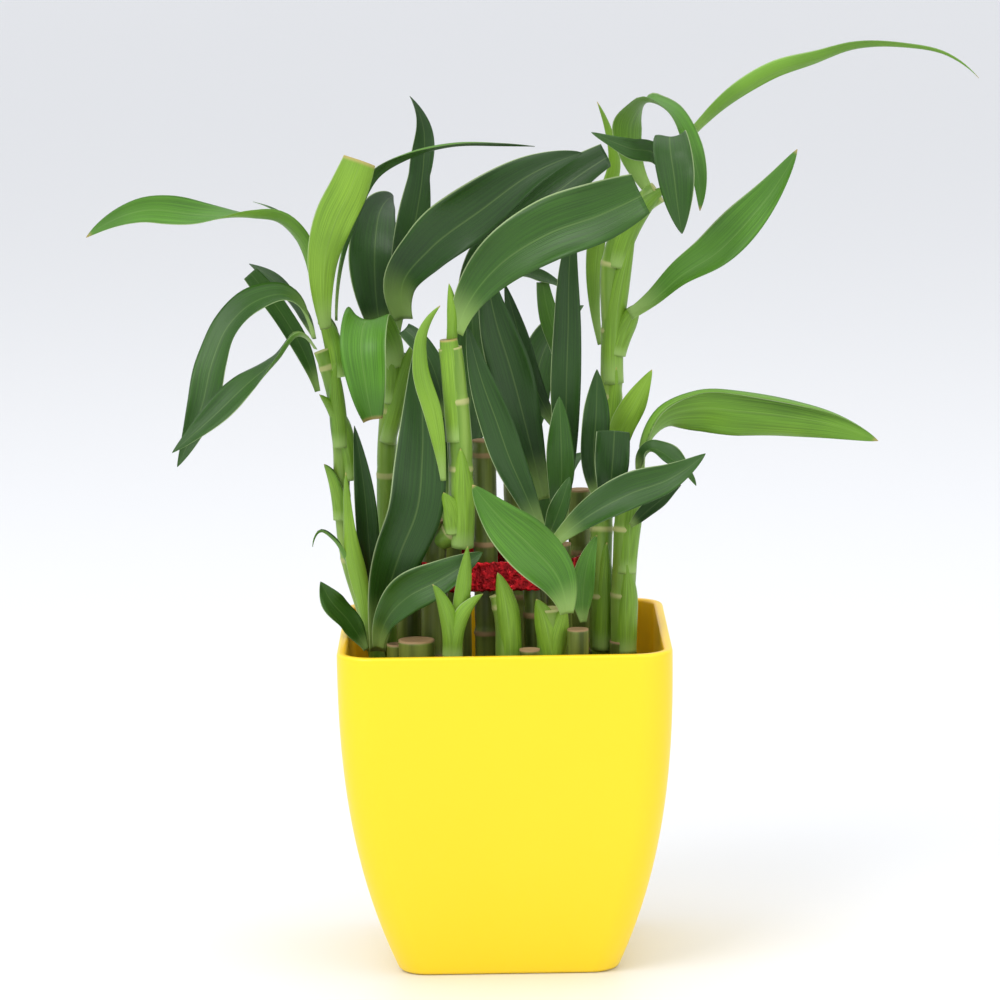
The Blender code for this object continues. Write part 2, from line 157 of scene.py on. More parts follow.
LEAVES = (
    # The rosette at the left of the rim
    Leaf("rosette_leaf_low", ((-48, -14, 110), (-54, -15, 120), (-60, -18, 128), (-63, -19, 135)),
         5.2, (40, 30), widest=0.55),
    Leaf("rosette_leaf_pale", ((-47, -9, 109), (-50, -7, 130), (-53, -6, 146), (-54, -6, 160),
                               (-54, -6, 171)), 3.4, (160, 150)),
    Leaf("rosette_leaf_dark", ((-46, -4, 108), (-46, 0, 125), (-47, 2, 142), (-48, 2, 160),
                               (-51, 3, 186)), 4.6, (20, 10)),
    Leaf("rosette_leaf_broad", ((-44, -16, 110), (-41, -22, 129), (-36, -28, 146),
                                (-30, -28, 161), (-28, -25, 177), (-29, -17, 215)),
         10.2, (10, 0), widest=0.5),
    Leaf("rosette_leaf_right", ((-43, -22, 112), (-40, -28, 124), (-33, -33, 132),
                                (-22, -35, 138), (-7, -35, 147)), 7.2, (-25, -15), widest=0.55),
    # The tall shoot on the left
    Leaf("left_leaf_upright", ((-60, 2, 220), (-61, -2, 234), (-60, -5, 246), (-56, -8, 259),
                               (-51, -9, 269), (-47, -8, 279)),
         7.2, (190, 180), cup=0.35, widest=0.55, cut=0.75),
    Leaf("left_leaf_far", ((-62, 8, 221), (-65, 8, 240), (-69, 6, 251), (-75, 4, 257),
                           (-85, 2, 259), (-102, -2, 260), (-123, -6, 262), (-141, -10, 254)),
         6.0, (150, 130, 85, 30, 20), neck=0.35, widest=0.6),
    Leaf("left_leaf_short", ((-64, 12, 197), (-69, 14, 211), (-76, 17, 223), (-87, 18, 238)),
         4.2, (30, 20), cut=0.75),
    Leaf("left_leaf_droop_high", ((-65, 2, 217), (-74, 0, 232), (-84, -4, 230), (-93, -8, 222),
                                  (-98, -12, 211), (-102, -16, 196), (-111, -22, 176)),
         7.2, (100, 50, 20, 10), widest=0.5),
    Leaf("left_leaf_droop_low", ((-64, -4, 214), (-69, -9, 219), (-76, -15, 212),
                                 (-87, -22, 203), (-97, -26, 194), (-112, -30, 182)),
         6.0, (110, 50, 30), widest=0.5),
    # The second shoot from the left
    Leaf("front_leaf_droop", ((-36, 12, 205), (-41, 7, 218), (-45, 0, 223), (-47, -9, 216),
                              (-46, -12, 204), (-44, -11, 190)),
         8.8, (90, 90), "right", cup=0.6, neck=0.4, widest=0.5, cut=0.9),
    Leaf("back_leaf_upright", ((-41, 25, 212), (-44, 26, 231), (-44, 28, 247), (-42, 36, 258),
                               (-37, 48, 262)), 9.0, (0, 0, 10), widest=0.5),
    Leaf("twisted_leaf", ((-37, 18, 215), (-34, 19, 238), (-29, 20, 257), (-26, 20, 275),
                          (-26, 20, 289), (-30, 18, 299)), 6.2, (30, 10, -30, 60)),
    Leaf("arching_leaf_thin", ((-57, 10, 222), (-52, 12, 253), (-42, 10, 274), (-30, 7, 280),
                               (-16, 6, 283), (1, 4, 283), (13, 3, 282)), 2.8, (60, 60, 60)),
    Leaf("broad_leaf_left", ((-33, 13, 222), (-34, 8, 234), (-24, 0, 248), (-6, -8, 262),
                             (13, -14, 275), (29, -18, 281)),
         10.4, (-25, -10, -20), neck=0.35),
    Leaf("broad_leaf_behind", ((-12, 4, 223), (-6, 6, 242), (9, 8, 257), (24, 8, 269),
                               (38, 6, 278)), 8.4, (-20, -25), cut=0.8),
    # The shoot in the middle
    Leaf("narrow_leaf_bright", ((-20, -30, 171), (-23, -33, 194), (-27, -33, 211),
                                (-26, -32, 222), (-20, -31, 231)), 3.4, (170, 200)),
    Leaf("middle_leaf_left", ((-20, -17, 191), (-23, -12, 206), (-27, -9, 214), (-33, -5, 220)),
         5.0, (30, 30), cut=0.85),
    Leaf("broad_leaf_glossy", ((-15, -25, 221), (-11, -26, 231), (0, -29, 245), (17, -32, 256),
                               (34, -34, 262), (48, -34, 268)),
         11.6, (-15, -8, -10), neck=0.3, widest=0.55, cut=0.82),
    # The thick shoot on the right
    Leaf("arching_leaf_right", ((63, 0, 275), (66, -2, 284), (73, -4, 292), (84, -6, 301),
                                (95, -7, 307), (109, -8, 311), (122, -10, 315), (139, -11, 315),
                                (153, -12, 312), (164, -13, 304)),
         3.4, (-150, -150, -130, -90), widest=0.3),
    Leaf("folded_leaf_top", ((52, 12, 266), (46, 10, 280), (46, 5, 290), (52, -2, 297),
                             (59, -6, 294), (66, -9, 282), (69, -10, 260)),
         6.6, (180, 190, 270, 335, 350), widest=0.4),
    Leaf("wavy_leaf_left", ((58, -9, 274), (53, -14, 280), (45, -19, 282), (38, -20, 285),
                            (32, -20, 288)), 4.2, (30, 20, 30), widest=0.3),
    Leaf("wavy_leaf_down", ((61, -14, 278), (59, -20, 286), (59, -26, 282), (60, -29, 274),
                            (61, -30, 263), (62, -30, 254)),
         7.0, (90, 90), "right", cup=0.4),
    Leaf("spear_leaf_back", ((35, 12, 212), (33, 15, 233), (36, 18, 257), (41, 20, 276),
                             (39, 20, 286), (35, 20, 296)), 3.4, (180, 200)),
    Leaf("raised_leaf_right", ((45, -6, 224), (52, -8, 229), (62, -11, 238), (74, -13, 246),
                               (85, -14, 257), (94, -15, 268), (102, -16, 281)),
         7.4, (-40, -20), widest=0.5),
    Leaf("tent_leaf_right", ((49, -12, 169), (50, -13, 182), (56, -13, 190), (68, -12, 193),
                             (82, -13, 192), (99, -15, 190), (114, -17, 187), (129, -19, 181)),
         11.0, (240, 190, 180), cup=0.3, neck=0.2, widest=0.42, roll=(0.45, -120)),
    Leaf("low_leaf_right", ((18, -34, 150), (30, -36, 160), (43, -37, 167), (57, -37, 172),
                            (69, -37, 180)), 6.8, (-25, -20)),
    Leaf("cupped_leaf", ((33, -17, 161), (31, -18, 177), (32, -19, 191), (33, -18, 207)),
         6.0, (20, 10), cup=0.7),
    # The leaves in the centre
    Leaf("centre_leaf_tall", ((21, -8, 153), (22, -9, 178), (22, -10, 195), (23, -10, 220),
                              (24, -8, 243), (26, -4, 259)), 5.6, (10, 0), widest=0.5),
    Leaf("centre_leaf_short", ((18, -15, 154), (20, -18, 169), (20, -20, 181), (20, -19, 198)),
         5.2, (0, 0), widest=0.5),
    Leaf("centre_leaf_high", ((14, -9, 161), (9, -10, 182), (3, -11, 206), (-2, -11, 224),
                              (-5, -9, 244)), 8.0, (10, 10), widest=0.5),
    Leaf("centre_leaf_low", ((14, -26, 150), (8, -25, 164), (2, -25, 178), (-2, -24, 190),
                             (-7, -23, 205), (-11, -21, 223)), 6.2, (10, 10)),
    # The leaves in front
    Leaf("front_leaf_bright", ((21, -44, 127), (18, -46, 139), (8, -48, 151), (-1, -48, 160),
                               (-10, -47, 172)), 9.6, (20, 10), neck=0.25, widest=0.42),
    Leaf("front_leaf_upright", ((27, -33, 122), (27, -34, 135), (29, -34, 145), (32, -33, 152)),
         4.2, (0, 0), widest=0.4),
)

SMALL_LEAVES = (
    Leaf("rosette_curl", ((-48, 0, 107), (-52, -2, 129), (-55, -3, 140), (-59, -3, 147),
                          (-63, -4, 150), (-66, -6, 145)), 2.8, (60, 110), cup=1.0),
    Leaf("left_thin", ((-63, 14, 221), (-66, 20, 237), (-73, 26, 255), (-86, 32, 262)),
         1.8, (60, 80)),
    Leaf("left_back", ((-65, 16, 215), (-73, 24, 228), (-88, 34, 240)), 3.6, (60, 40)),
    Leaf("right_bright", ((40, -8, 170), (41, -10, 185), (46, -12, 195), (52, -13, 206)),
         5.0, (170, 160)),
    Leaf("right_small_droop", ((47, -19, 172), (51, -23, 180), (59, -27, 176), (66, -30, 168)),
         4.4, (-60, -50)),
    Leaf("right_low_back", ((44, -20, 153), (51, -24, 160), (61, -28, 168)), 3.2, (-30, -30)),
    Leaf("right_wavy_short", ((36, -24, 160), (37, -26, 173), (38, -27, 187)), 7.0, (10, 0),
         cup=0.8, neck=0.6, widest=0.5, cut=0.62),
    Leaf("centre_small", ((15, -28, 150), (18, -31, 158), (23, -32, 172)), 3.6, (-10, -10)),
    Leaf("centre_back", ((20, 4, 183), (11, 6, 200), (6, 8, 218), (2, 10, 234)), 4.2, (0, 0)),
    Leaf("centre_olive", ((22, 12, 195), (20, 14, 212), (17, 14, 222), (15, 14, 234)), 3.8,
         (170, 170), cut=0.8),
    Leaf("centre_edge", ((26, 16, 229), (16, 14, 235), (5, 10, 237), (-4, 4, 232)), 3.0,
         (60, 60)),
    Leaf("back_left_a", ((-19, 16, 156), (-22, 26, 180), (-30, 38, 200), (-42, 48, 206)), 7.5,
         (20, 60)),
    Leaf("back_left_b", ((-17, 16, 156), (-12, 26, 186), (-10, 36, 215), (-12, 46, 236)), 8.0,
         (0, 0)),
    Leaf("back_right_a", ((5, 20, 164), (10, 30, 190), (18, 40, 212), (30, 48, 222)), 8.0,
         (0, -40)),
    Leaf("back_right_b", ((12, 38, 122), (16, 44, 145), (22, 50, 162), (30, 56, 168)), 6.5,
         (0, -30)),
    Leaf("back_middle", ((-16, 36, 118), (-18, 42, 140), (-24, 50, 160), (-34, 56, 166)), 6.5,
         (0, 40)),
)


class Sheath(NamedTuple):
    """A pale sheath that hugs a shoot.

    The midrib is the line of its back, radius is the shoot's, facing is the way its upper side
    turns, wrap is how far it curls round and cut is the share of its outline that is there.
    """

    name: str
    midrib: tuple
    radius: float
    facing: tuple
    wrap: float = 1.9
    cut: float = 1.0


SHEATHS = (
    Sheath("sheath_left_low", ((-59, 9, 152), (-60, 9, 163), (-62, 8, 172)), 3.3, (90, 90)),
    Sheath("sheath_left_mid", ((-53, 7.5, 166), (-56, 5.5, 184), (-63, 4, 197)), 3.3, (180, 150)),
    Sheath("sheath_left_high", ((-54, 6, 178), (-55, 5, 195), (-57, 5, 208)), 3.2, (230, 230)),
    Sheath("sheath_left_bud", ((-59, 7, 202), (-61, 9, 214), (-64, 13, 227)), 3.2, (90, 90), 2.4),
    Sheath("sheath_right_arm", ((40, -4.6, 210), (43, -5, 219), (48, -6, 228)), 4.0,
           (180, 180), 1.9),
    Sheath("sheath_second", ((-40, 13, 178), (-35, 12, 196), (-30, 11, 214)), 3.4, (180, 200), 1.4),
    Sheath("sheath_second_top", ((-38, 13, 192), (-37, 12, 206), (-36, 11, 220)), 3.8, (180, 180)),
    Sheath("sheath_middle_foot", ((-14, -28.6, 147), (-13.5, -29.6, 165), (-14, -29.6, 182)),
           4.6, (180, 180), 2.2),
    Sheath("sheath_middle_bract", ((-18, -28, 152), (-19, -29, 160), (-20, -30, 167)), 4.4,
           (150, 150), 1.2),
    Sheath("sheath_middle_top", ((-15, -29, 184), (-16, -29, 202), (-17.5, -29, 219)), 3.9,
           (190, 180), 2.2, 0.7),
    Sheath("sheath_middle_spear", ((-17, -26, 214), (-16, -26, 226), (-17, -26, 238)), 2.2,
           (180, 180), 1.2),
    Sheath("sheath_right_foot", ((34, -12.4, 108), (35, -12.2, 125), (36, -11.6, 146)), 4.2,
           (180, 200), 2.2),
    Sheath("sheath_right_mid", ((37, -8, 160), (39, -5, 186), (40, -4.5, 206)), 4.3, (180, 190), 2.2),
    Sheath("sheath_right_high", ((39, -4.6, 200), (41, -4.6, 232), (47, -5, 254)), 4.3,
           (180, 180), 2.2),
    Sheath("sheath_right_tip", ((42, -4.6, 240), (49, -6, 258), (58, -6, 268)), 4.2, (200, 200), 1.6),
    Sheath("sheath_corner_low", ((41, -18.8, 108), (41.5, -18.6, 125), (42.5, -18.4, 140)), 4.5,
           (170, 170), 2.2),
    Sheath("sheath_corner_high", ((42, -18.5, 136), (43, -18, 150), (45, -17.5, 164)), 4.5,
           (180, 170), 2.2, 0.8),
    Sheath("sheath_front_left_a", ((-19, -44, 112), (-20, -45, 126), (-24, -46, 138)), 3.2,
           (170, 150), 1.5),
    Sheath("sheath_front_left_b", ((-16, -44, 112), (-13, -44, 126), (-7, -43, 134)), 3.2,
           (200, 230), 1.5),
    Sheath("sheath_front_left_c", ((-17, -42, 118), (-14, -42, 134), (-12, -40, 150)), 4.0,
           (180, 180), 0.8),
    Sheath("sheath_front_a", ((1, -36.4, 106), (1, -36.2, 120), (-2, -35.4, 140)), 4.5,
           (170, 170), 2.0),
    Sheath("sheath_front_b", ((15.5, -37.6, 106), (14, -37.6, 120), (11, -37.4, 131)), 4.7,
           (170, 170), 2.0),
    Sheath("sheath_front_c", ((17, -37.6, 104), (19, -37.4, 116), (21, -37, 128)), 4.7,
           (200, 200), 1.6),
)


# --- Shader building --------------------------------------------------------------------------------

class Value:
    """A number socket that takes part in Python expressions."""

    def __init__(self, tree: "Tree", socket: Any) -> None:
        """Wrap a socket of the tree."""
        self.tree = tree
        self.socket = socket

    def _math(self, operation: str, a: Any, b: Any) -> "Value":
        """Add one Math node and return its result."""
        return self.tree.add("ShaderNodeMath", {"operation": operation}, {0: a, 1: b})

    def __add__(self, other: Any) -> "Value":
        """Sum."""
        return self._math("ADD", self, other)

    def __sub__(self, other: Any) -> "Value":
        """Difference."""
        return self._math("SUBTRACT", self, other)

    def __mul__(self, other: Any) -> "Value":
        """Product."""
        return self._math("MULTIPLY", self, other)

    def __rsub__(self, other: Any) -> "Value":
        """Difference with a number on the left."""
        return self._math("SUBTRACT", other, self)

    def __gt__(self, other: Any) -> "Value":
        """One where greater, else nought."""
        return self._math("GREATER_THAN", self, other)

    __radd__ = __add__
    __rmul__ = __mul__

    def size(self) -> "Value":
        """The value without its sign."""
        return self._math("ABSOLUTE", self, 0.0)

    def ramp(self, low: float, high: float) -> "Value":
        """Rise smoothly from 0 at low to 1 at high."""
        return self.tree.add("ShaderNodeMapRange", {"interpolation_type": "SMOOTHSTEP"},
                             {"Value": self, "From Min": low, "From Max": high})


class Tree:
    """One material's node tree, ending in a Principled shader."""

    def __init__(self, name: str, **constants: float) -> None:
        """Make the material.

        Args:
            name: the material's name.
            constants: values set on the shader's own sockets, with _ for a space.
        """
        self.material = bpy.data.materials.new(name)
        self.material.use_nodes = True
        self.nodes = self.material.node_tree.nodes
        self.shader = self.nodes["Principled BSDF"]
        for key, value in constants.items():
            self.socket(key).default_value = value

    def socket(self, key: str) -> Any:
        """The shader's socket for a name such as base_color or ior."""
        title = "IOR" if key == "ior" else key.replace("_", " ").title()
        return self.shader.inputs[title]

    def add(self, kind: str, settings: dict, inputs: dict, out: Any = 0) -> Value:
        """Add a node.

        Args:
            kind: the node's type.
            settings: properties set first.
            inputs: socket name or number to a value or a link.
            out: the output to return.

        Returns:
            The wrapped output socket.
        """
        node = self.nodes.new(kind)
        for key, value in settings.items():
            setattr(node, key, value)
        for key, value in inputs.items():
            self.connect(value, node.inputs[key])
        return Value(self, node.outputs[out])

    def connect(self, value: Any, socket: Any) -> None:
        """Link a wrapped value to a socket, or set a plain one on it."""
        if isinstance(value, Value):
            self.material.node_tree.links.new(value.socket, socket)
        else:
            socket.default_value = value

    def blend(self, factor: Any, a: Any, b: Any, how: str = "MIX") -> Value:
        """Mix two colours.

        Args:
            factor: 0 for a, 1 for the mix in full.
            a: first colour.
            b: second colour.
            how: the Mix node's blend type.

        Returns:
            The mixed colour.
        """
        return self.add("ShaderNodeMix", {"data_type": "RGBA", "blend_type": how},
                        {"Factor": factor, 6: a, 7: b}, 2)

    def noise(self, scale: float, detail: float = 3.0, stretch: tuple = (1, 1, 1),
              coords: str = "Object") -> Value:
        """Soft noise, about 0.5 in the middle.

        Args:
            scale: how fine it is.
            detail: how many octaves.
            stretch: scale of each axis of the coordinates.
            coords: output of Texture Coordinate to read.

        Returns:
            The noise value.
        """
        place = self.add("ShaderNodeTexCoord", {}, {}, coords)
        place = self.add("ShaderNodeMapping", {}, {"Vector": place, "Scale": stretch})
        return self.add("ShaderNodeTexNoise", {},
                        {"Vector": place, "Scale": scale, "Detail": detail}, 0)

    def uv(self) -> tuple[Value, Value]:
        """The piece's own UV map as two values."""
        place = self.add("ShaderNodeTexCoord", {}, {}, "UV")
        around, along = (self.add("ShaderNodeSeparateXYZ", {}, {0: place}, k) for k in (0, 1))
        return around, along

    def bump(self, height: Value, strength: float, distance: float) -> None:
        """Feed the shader's normal from a height."""
        normal = self.add("ShaderNodeBump", {},
                          {"Height": height, "Strength": strength, "Distance": distance})
        self.connect(normal, self.socket("normal"))

    def paint(self, **links: Any) -> bpy.types.Material:
        """Link values to the shader's sockets and return the material."""
        for key, value in links.items():
            self.connect(value, self.socket(key))
        return self.material


class Tone(Enum):
    """How a blade is coloured: upper side, under side. The darkest tone is painted shade, the leaf
    green darkened for blades that sit in shadow; the middle tone is the leaf green, darkened a little
    as painted shade.
    """

    # Painted shade: a darker copy of the leaf green, for blades that sit in shadow
    DARK = ((0.014, 0.056, 0.003, 1), (0.042, 0.115, 0.009, 1))
    # The leaf green, darkened a little as painted shade
    MID = ((0.024, 0.086, 0.004, 1), (0.075, 0.195, 0.014, 1))
    FRESH = ((0.060, 0.185, 0.009, 1), (0.120, 0.275, 0.017, 1))
    LIME = ((0.130, 0.280, 0.015, 1), (0.165, 0.320, 0.020, 1))


# Blades at the back and in the middle, which sit in shadow, get the darkest tone as painted shade
TONES = {
    **dict.fromkeys(("rosette_leaf_dark", "rosette_leaf_broad", "back_leaf_upright",
                     "twisted_leaf", "broad_leaf_left", "broad_leaf_behind", "middle_leaf_left",
                     "cupped_leaf", "centre_leaf_tall", "centre_leaf_high", "centre_leaf_low",
                     "centre_back", "left_back", "right_low_back", "right_wavy_short"), Tone.DARK),
    **dict.fromkeys(("rosette_leaf_pale", "left_leaf_upright", "narrow_leaf_bright",
                     "spear_leaf_back", "right_bright"), Tone.LIME),
    **dict.fromkeys(("left_leaf_far", "raised_leaf_right", "tent_leaf_right",
                     "front_leaf_bright", "arching_leaf_right", "folded_leaf_top",
                     "front_leaf_droop", "front_leaf_upright"), Tone.FRESH),
}


@dataclass(frozen=True)
class LeafFinish:
    """A glossy blade with fine parallel veins, a pale margin and a pale foot."""

    tone: Tone
    margin: tuple = (0.50, 0.64, 0.30, 1)
    foot: tuple = (0.30, 0.46, 0.12, 1)
    dry: tuple = (0.48, 0.34, 0.12, 1)
    roughness: float = 0.34

    def make(self) -> bpy.types.Material:
        """Build the material."""
        tree = Tree("leaf_" + self.tone.name.lower(), ior=1.42, coat_weight=0.05,
                    coat_roughness=0.25)
        around, along = tree.uv()
        under = around > 0.5
        across = (((around * 2 - under) * 2) - 1).size()
        veins = tree.noise(1.0, 2.0, (150, 2.2, 1), "UV")
        cloud = tree.noise(28.0, 2.0)
        upper, lower = self.tone.value
        colour = tree.blend(under, upper, lower)
        shade = tree.blend(veins.ramp(0.35, 0.68), (0.78, 0.80, 0.78, 1), (1.22, 1.20, 1.3, 1))
        colour = tree.blend(1.0, colour, shade, "MULTIPLY")
        shade = tree.blend(cloud.ramp(0.3, 0.7), (0.80, 0.84, 0.8, 1), (1.25, 1.18, 1.2, 1))
        colour = tree.blend(1.0, colour, shade, "MULTIPLY")
        rib = (1 - across.ramp(0.0, 0.05)) * 0.15
        colour = tree.blend(rib, colour, self.foot)
        foot = 1 - along.ramp(0.02, 0.22)
        colour = tree.blend(foot * 0.75, colour, self.foot)
        edge = across.ramp(0.93, 0.99)
        colour = tree.blend(edge * 0.6, colour, self.margin)
        if self.tone in (Tone.FRESH, Tone.LIME):
            dry = along.ramp(0.972, 1.0)
            colour = tree.blend(dry * 0.8, colour, self.dry)
        tree.bump(veins + rib * -0.6, 0.35, 0.0004)
        rough = self.roughness + veins * 0.14 + under * 0.08
        return tree.paint(base_color=colour, roughness=rough)


@dataclass(frozen=True)
class StemFinish:
    """The skin of a cane or shoot, with streaks along it, tan node rings and a cut end."""

    name: str
    skin: tuple
    pale: tuple
    ring: tuple
    roughness: float

    def make(self) -> bpy.types.Material:
        """Build the material. The mesh's ring attribute is 1 on node rings and cut ends."""
        tree = Tree(self.name, ior=1.42)
        streaks = tree.noise(1.0, 3.0, (260, 260, 14))
        cloud = tree.noise(70.0, 3.0)
        colour = tree.blend(streaks.ramp(0.3, 0.7), self.skin, self.pale)
        ring = tree.add("ShaderNodeAttribute", {"attribute_name": "ring"}, {}, "Fac")
        worn = ring * (0.55 + cloud)
        colour = tree.blend(worn.ramp(0.25, 0.85), colour, self.ring)
        tree.bump(streaks + cloud * 0.5, 0.35, 0.0005)
        return tree.paint(base_color=colour, roughness=self.roughness + ring * 0.3)


@dataclass(frozen=True)
class PotFinish:
    """Satin moulded yellow plastic."""

    colour: tuple = (0.96, 0.67, 0.004, 1)
    # Painted shade: the inner wall is the same yellow plastic, painted darker orange
    inner_wall_painted_shade: tuple = (0.92, 0.50, 0.002, 1)

    def make(self) -> bpy.types.Material:
        """Build the material. V is above 0.5 on the pot's inner wall, which is painted darker orange
        there as painted shade.
        """
        tree = Tree("pot_plastic", ior=1.46, coat_weight=0.15, coat_roughness=0.3)
        _, along = tree.uv()
        cloud = tree.noise(9.0, 3.0)
        grain = tree.noise(900.0, 2.0)
        colour = tree.blend(along.ramp(0.50, 0.56), self.colour, self.inner_wall_painted_shade)
        colour = tree.blend(cloud.ramp(0.35, 0.7) * 0.12, colour, (1.0, 0.78, 0.02, 1))
        tree.bump(grain, 0.08, 0.0002)
        return tree.paint(base_color=colour, roughness=0.36 + cloud * 0.08)


@dataclass(frozen=True)
class SoilFinish:
    """Dark crumbly potting soil."""

    dark: tuple = (0.018, 0.011, 0.007, 1)
    light: tuple = (0.085, 0.055, 0.032, 1)

    def make(self) -> bpy.types.Material:
        """Build the material."""
        tree = Tree("soil")
        crumbs = tree.noise(380.0, 5.0)
        colour = tree.blend(crumbs.ramp(0.42, 0.72), self.dark, self.light)
        tree.bump(crumbs, 0.9, 0.002)
        return tree.paint(base_color=colour, roughness=0.86 + crumbs * 0.1)


@dataclass(frozen=True)
class FoilFinish:
    """Crinkled red metallic foil."""

    colour: tuple = (0.62, 0.010, 0.018, 1)

    def make(self) -> bpy.types.Material:
        """Build the material. The foil is bumped along its creases and painted darker red down in them
        as painted shade.
        """
        tree = Tree("red_foil", metallic=0.75)
        creases_and_painted_shade = tree.noise(420.0, 2.0)
        # Painted shade: darker red where the creases sink in
        colour = tree.blend(creases_and_painted_shade.ramp(0.4, 0.65), (0.25, 0.003, 0.006, 1), self.colour)
        tree.bump(creases_and_painted_shade, 0.9, 0.0015)
        return tree.paint(base_color=colour, roughness=0.24 + creases_and_painted_shade * 0.2)


# --- Meshes -----------------------------------------------------------------------------------------

def smooth_line(points: Any, count: int) -> np.ndarray:
    """Evenly spaced points on a smooth curve through the given ones.

    Between two points the curve is a cubic whose end slopes follow the neighbouring points.

    Args:
        points: rows of x, y, z.
        count: how many points to return.

    Returns:
        An array of count rows.
    """
    p = np.array(points, dtype=float)
    s = np.r_[0, np.cumsum(np.linalg.norm(np.diff(p, axis=0), axis=1))]
    slope = np.gradient(p, s, axis=0)
    if len(p) > 2:
        slope[0] = 2 * (p[1] - p[0]) / (s[1] - s[0]) - slope[1]
        slope[-1] = 2 * (p[-1] - p[-2]) / (s[-1] - s[-2]) - slope[-2]

    def curve(at: np.ndarray) -> np.ndarray:
        """Read the curve at lengths along the points."""
        i = np.clip(np.searchsorted(s, at, side="right") - 1, 0, len(p) - 2)
        h = (s[i + 1] - s[i])[:, None]
        u = (at - s[i])[:, None] / h
        return ((2 * u**3 - 3 * u**2 + 1) * p[i] + (u**3 - 2 * u**2 + u) * h * slope[i]
                + (3 * u**2 - 2 * u**3) * p[i + 1] + (u**3 - u**2) * h * slope[i + 1])

    fine = np.linspace(0, s[-1], CURVE_SAMPLES)
    length = np.r_[0, np.cumsum(np.linalg.norm(np.diff(curve(fine), axis=0), axis=1))]
    return curve(np.interp(np.linspace(0, length[-1], count), length, fine))


def skin(name: str, grid: np.ndarray, material: bpy.types.Material,
         ring: np.ndarray | None = None) -> bpy.types.Object:
    """Make a closed shell from a grid of rings, with flat caps on its first and last ring.

    Args:
        name: the piece's name.
        grid: rows of rings of points, in millimetres.
        material: its finish.
        ring: a value per row for the mesh's ring attribute.

    Returns:
        The new object, with its faces pointing out.
    """
    rows, columns, _ = grid.shape
    i, j = np.meshgrid(np.arange(rows - 1), np.arange(columns), indexing="ij")
    after = (j + 1) % columns
    quads = np.stack([i * columns + j, i * columns + after,
                      (i + 1) * columns + after, (i + 1) * columns + j], -1).reshape(-1, 4)
    flat = grid.reshape(-1, 3) * MM
    a, b, c, d = (flat[quads[:, k]] - flat.mean(0) for k in range(4))
    volume = np.einsum("ij,ij->i", a, np.cross(b, c) + np.cross(c, d)).sum()
    caps = [np.arange(columns)[::-1], (rows - 1) * columns + np.arange(columns)]
    u = np.stack([j, j + 1, j + 1, j], -1).reshape(-1) / columns
    v = np.stack([i, i, i + 1, i + 1], -1).reshape(-1) / (rows - 1)
    if volume < 0:
        quads = quads[:, ::-1]
        caps = [cap[::-1] for cap in caps]
        u, v = (x.reshape(-1, 4)[:, ::-1].reshape(-1) for x in (u, v))
    mesh = bpy.data.meshes.new(name)
    mesh.from_pydata(flat.tolist(), [], quads.tolist() + [cap.tolist() for cap in caps])
    layer = mesh.uv_layers.new(name="blade")
    cap_u = np.full(2 * columns, 0.25)
    cap_v = np.repeat([0.0, 1.0], columns)
    layer.data.foreach_set("uv", np.stack([np.r_[u, cap_u], np.r_[v, cap_v]], -1).ravel())
    values = np.zeros(rows) if ring is None else ring
    mark = mesh.attributes.new("ring", "FLOAT", "POINT")
    mark.data.foreach_set("value", np.repeat(values, columns).astype(np.float32))
    mesh.polygons.foreach_set("use_smooth", np.r_[np.ones(len(quads), bool), [False, False]])
    mesh.materials.append(material)
    mesh.update()
    obj = bpy.data.objects.new(name, mesh)
    bpy.context.scene.collection.objects.link(obj)
    return obj


def value_noise(place: np.ndarray, seed: float) -> np.ndarray:
    """A smooth wandering value from a few crossed sine waves.

    Args:
        place: points, with coordinates in the last axis.
        seed: shifts the waves.

    Returns:
        A value of about -1 to 1 at each point.
    """
    x, y, z = (place[..., k] for k in range(3))
    return (np.sin(1.7 * x + 2.3 * y + seed) * np.cos(1.1 * z - 1.9 * x + 2 * seed)
            + 0.5 * np.sin(3.1 * y - 2.7 * z + 3 * seed) * np.cos(2.9 * x + seed)) / 1.5


